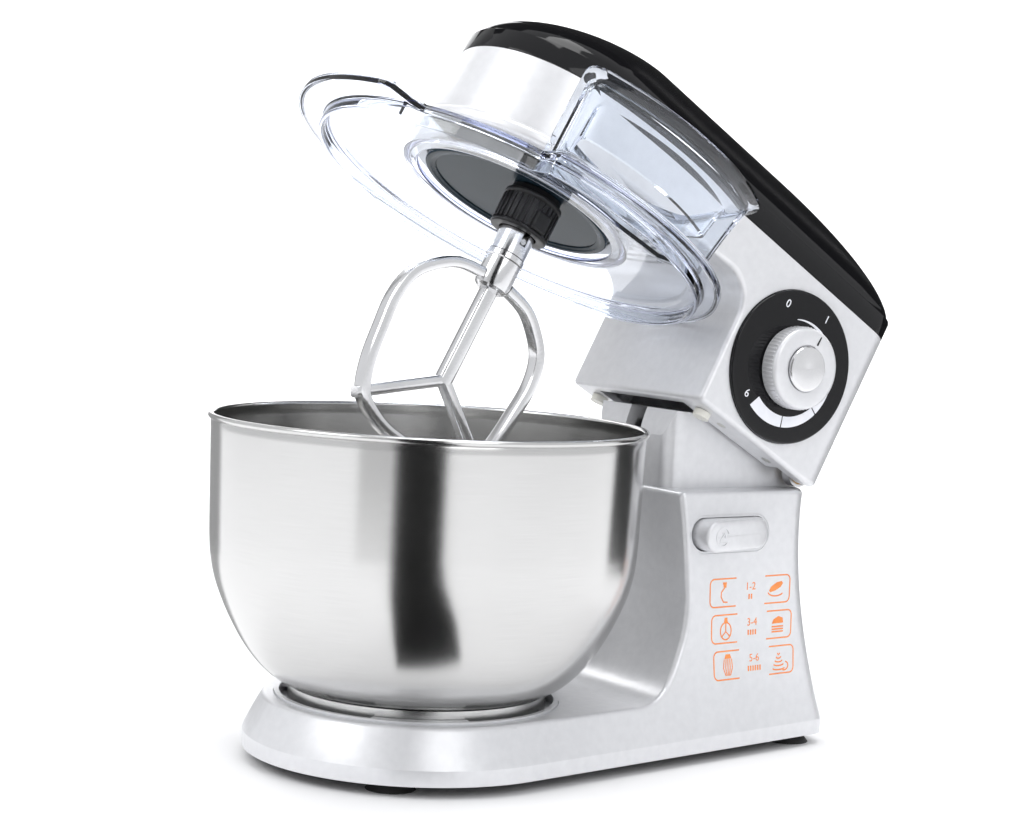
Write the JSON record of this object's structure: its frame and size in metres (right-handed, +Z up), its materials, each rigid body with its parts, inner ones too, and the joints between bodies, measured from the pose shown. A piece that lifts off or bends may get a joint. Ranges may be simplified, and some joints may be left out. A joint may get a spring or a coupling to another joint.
{
  "type": "stand mixer",
  "caption": "Tilt-head stand mixer with steel bowl, planetary beater, clear splash guard with feed chute, speed knob and head release button.",
  "frame": {"origin": "centre of the bounding box's footprint, on the surface that the feet stand on, with the head raised", "axes": "+Z up; -Y towards the bowl end, +Y towards the column; +X the side with the speed dial and the release button"},
  "size_m": [0.2395, 0.3844, 0.382],
  "materials": {
    "silver_plastic": "satin metallic silver lacquer",
    "black_gloss": "piano black",
    "black_plastic": "fine matt",
    "clear_plastic": "clear polycarbonate",
    "stainless": "brushed round the bowl",
    "cast_aluminium": "tumbled and polished",
    "steel": "ground",
    "zinc_screw": "zinc plated",
    "feet_rubber": "soft",
    "gear_nylon": "natural nylon",
    "bronze": "sintered",
    "lamination": "varnished steel sheets",
    "copper": "enamelled wire",
    "belt_rubber": "toothed belt",
    "carbon": "graphite",
    "board_green": "solder mask"
  },
  "bodies": {
    "base": {"base_shell": "silver_plastic", "base_cover": "black_plastic", "rubber_feet": "feet_rubber", "base_screws": "zinc_screw", "bowl_seat": "silver_plastic", "seat_screws": "zinc_screw", "cord_bush": "black_plastic", "terminal_block": "gear_nylon", "hinge_block": "silver_plastic", "hinge_pin": "steel", "lift_spring": "steel", "button_bezel": "silver_plastic", "button_pin": "steel", "button_spring": "steel"},
    "release_button": {"release_button": "silver_plastic"},
    "latch": {"latch_bar": "black_plastic"},
    "bowl": {"bowl": "stainless", "bowl_foot": "stainless"},
    "head": {"head_housing": "silver_plastic", "head_cover": "black_gloss", "cover_screws": "zinc_screw", "head_frame": "cast_aluminium", "hinge_bushes": "bronze", "latch_striker": "steel", "stop_pads": "gear_nylon", "gearbox_plate": "cast_aluminium", "gearbox_bridge": "cast_aluminium", "chassis_screws": "zinc_screw", "ring_gear": "gear_nylon", "shaft_bearings": "steel", "motor_stator": "lamination", "motor_windings": "copper", "motor_brackets": "cast_aluminium", "motor_bushes": "bronze", "brush_holders": "bronze", "carbon_brushes": "carbon", "drive_belt": "belt_rubber", "dial_plate": "black_gloss", "speed_switch": "black_plastic", "control_board": "board_green"},
    "speed_knob": {"speed_knob": "silver_plastic", "knob_cap": "silver_plastic"},
    "rotor": {"rotor_core": "lamination", "rotor_shaft": "steel", "commutator": "copper", "cooling_fan": "black_plastic", "motor_pulley": "steel"},
    "idler": {"idler_pinion": "steel", "idler_pulley": "gear_nylon"},
    "carrier": {"planet_carrier": "black_gloss", "carrier_shaft": "steel", "drive_gear": "gear_nylon", "output_bush": "bronze"},
    "output": {"planet_gear": "steel", "output_shaft": "steel", "drive_hub": "black_plastic", "cross_pin": "steel"},
    "beater": {"flat_beater": "cast_aluminium"},
    "splash_guard": {"splash_guard": "clear_plastic", "feed_chute": "clear_plastic"}
  },
  "joints": [
    {"name": "head_tilt", "type": "hinge", "parent": "base", "child": "head", "pos_m": [0, 0.137, 0.15], "axis": [1, 0, 0], "range_deg": [0, 28.2], "deforming": ["lift_spring"]},
    {"name": "button_press", "type": "hinge", "parent": "base", "child": "release_button", "pos_m": [0.05, 0.101, 0.1195], "axis": [0, 0, -1], "range_deg": [0, 7], "stiffness_Nm_per_rad": 1, "deforming": ["button_spring"]},
    {"name": "latch_slide", "type": "slide", "parent": "base", "child": "latch", "axis": [-1, 0, 0], "range_m": [0, 0.0055]},
    {"name": "bowl_lift", "type": "slide", "parent": "base", "child": "bowl", "axis": [0, 0, -1], "range_m": [-0.035, 0]},
    {"name": "knob_turn", "type": "hinge", "parent": "head", "child": "speed_knob", "pos_m": [0.06, 0.11288, 0.20957], "axis": [-1, 0, 0], "range_deg": [0, 250]},
    {"name": "carrier_spin", "type": "hinge", "parent": "head", "child": "carrier", "pos_m": [0, -0.03081, 0.2899], "axis": [0, 0.4726, 0.8813], "continuous": true},
    {"name": "output_spin", "type": "hinge", "parent": "carrier", "child": "output", "pos_m": [0.029, -0.03759, 0.29354], "axis": [0, 0.4726, 0.8813], "continuous": true},
    {"name": "idler_spin", "type": "hinge", "parent": "head", "child": "idler", "pos_m": [0, 0.03247, 0.29682], "axis": [0, 0.4726, 0.8813], "continuous": true},
    {"name": "rotor_spin", "type": "hinge", "parent": "head", "child": "rotor", "pos_m": [0, 0.12809, 0.24555], "axis": [0, 0.4726, 0.8813], "continuous": true},
    {"name": "beater_release", "type": "slide", "parent": "output", "child": "beater", "axis": [0, 0.4726, 0.8813], "range_m": [-0.025, 0]},
    {"name": "guard_release", "type": "slide", "parent": "head", "child": "splash_guard", "axis": [0, 0.4726, 0.8813], "range_m": [-0.015, 0]}
  ],
  "couplings": [
    {"joint": "latch_slide", "follows": "button_press", "m_per_rad": 0.039},
    {"joint": "output_spin", "follows": "carrier_spin", "ratio": -2.6667},
    {"joint": "idler_spin", "follows": "carrier_spin", "ratio": -4},
    {"joint": "rotor_spin", "follows": "carrier_spin", "ratio": -15.111}
  ]
}
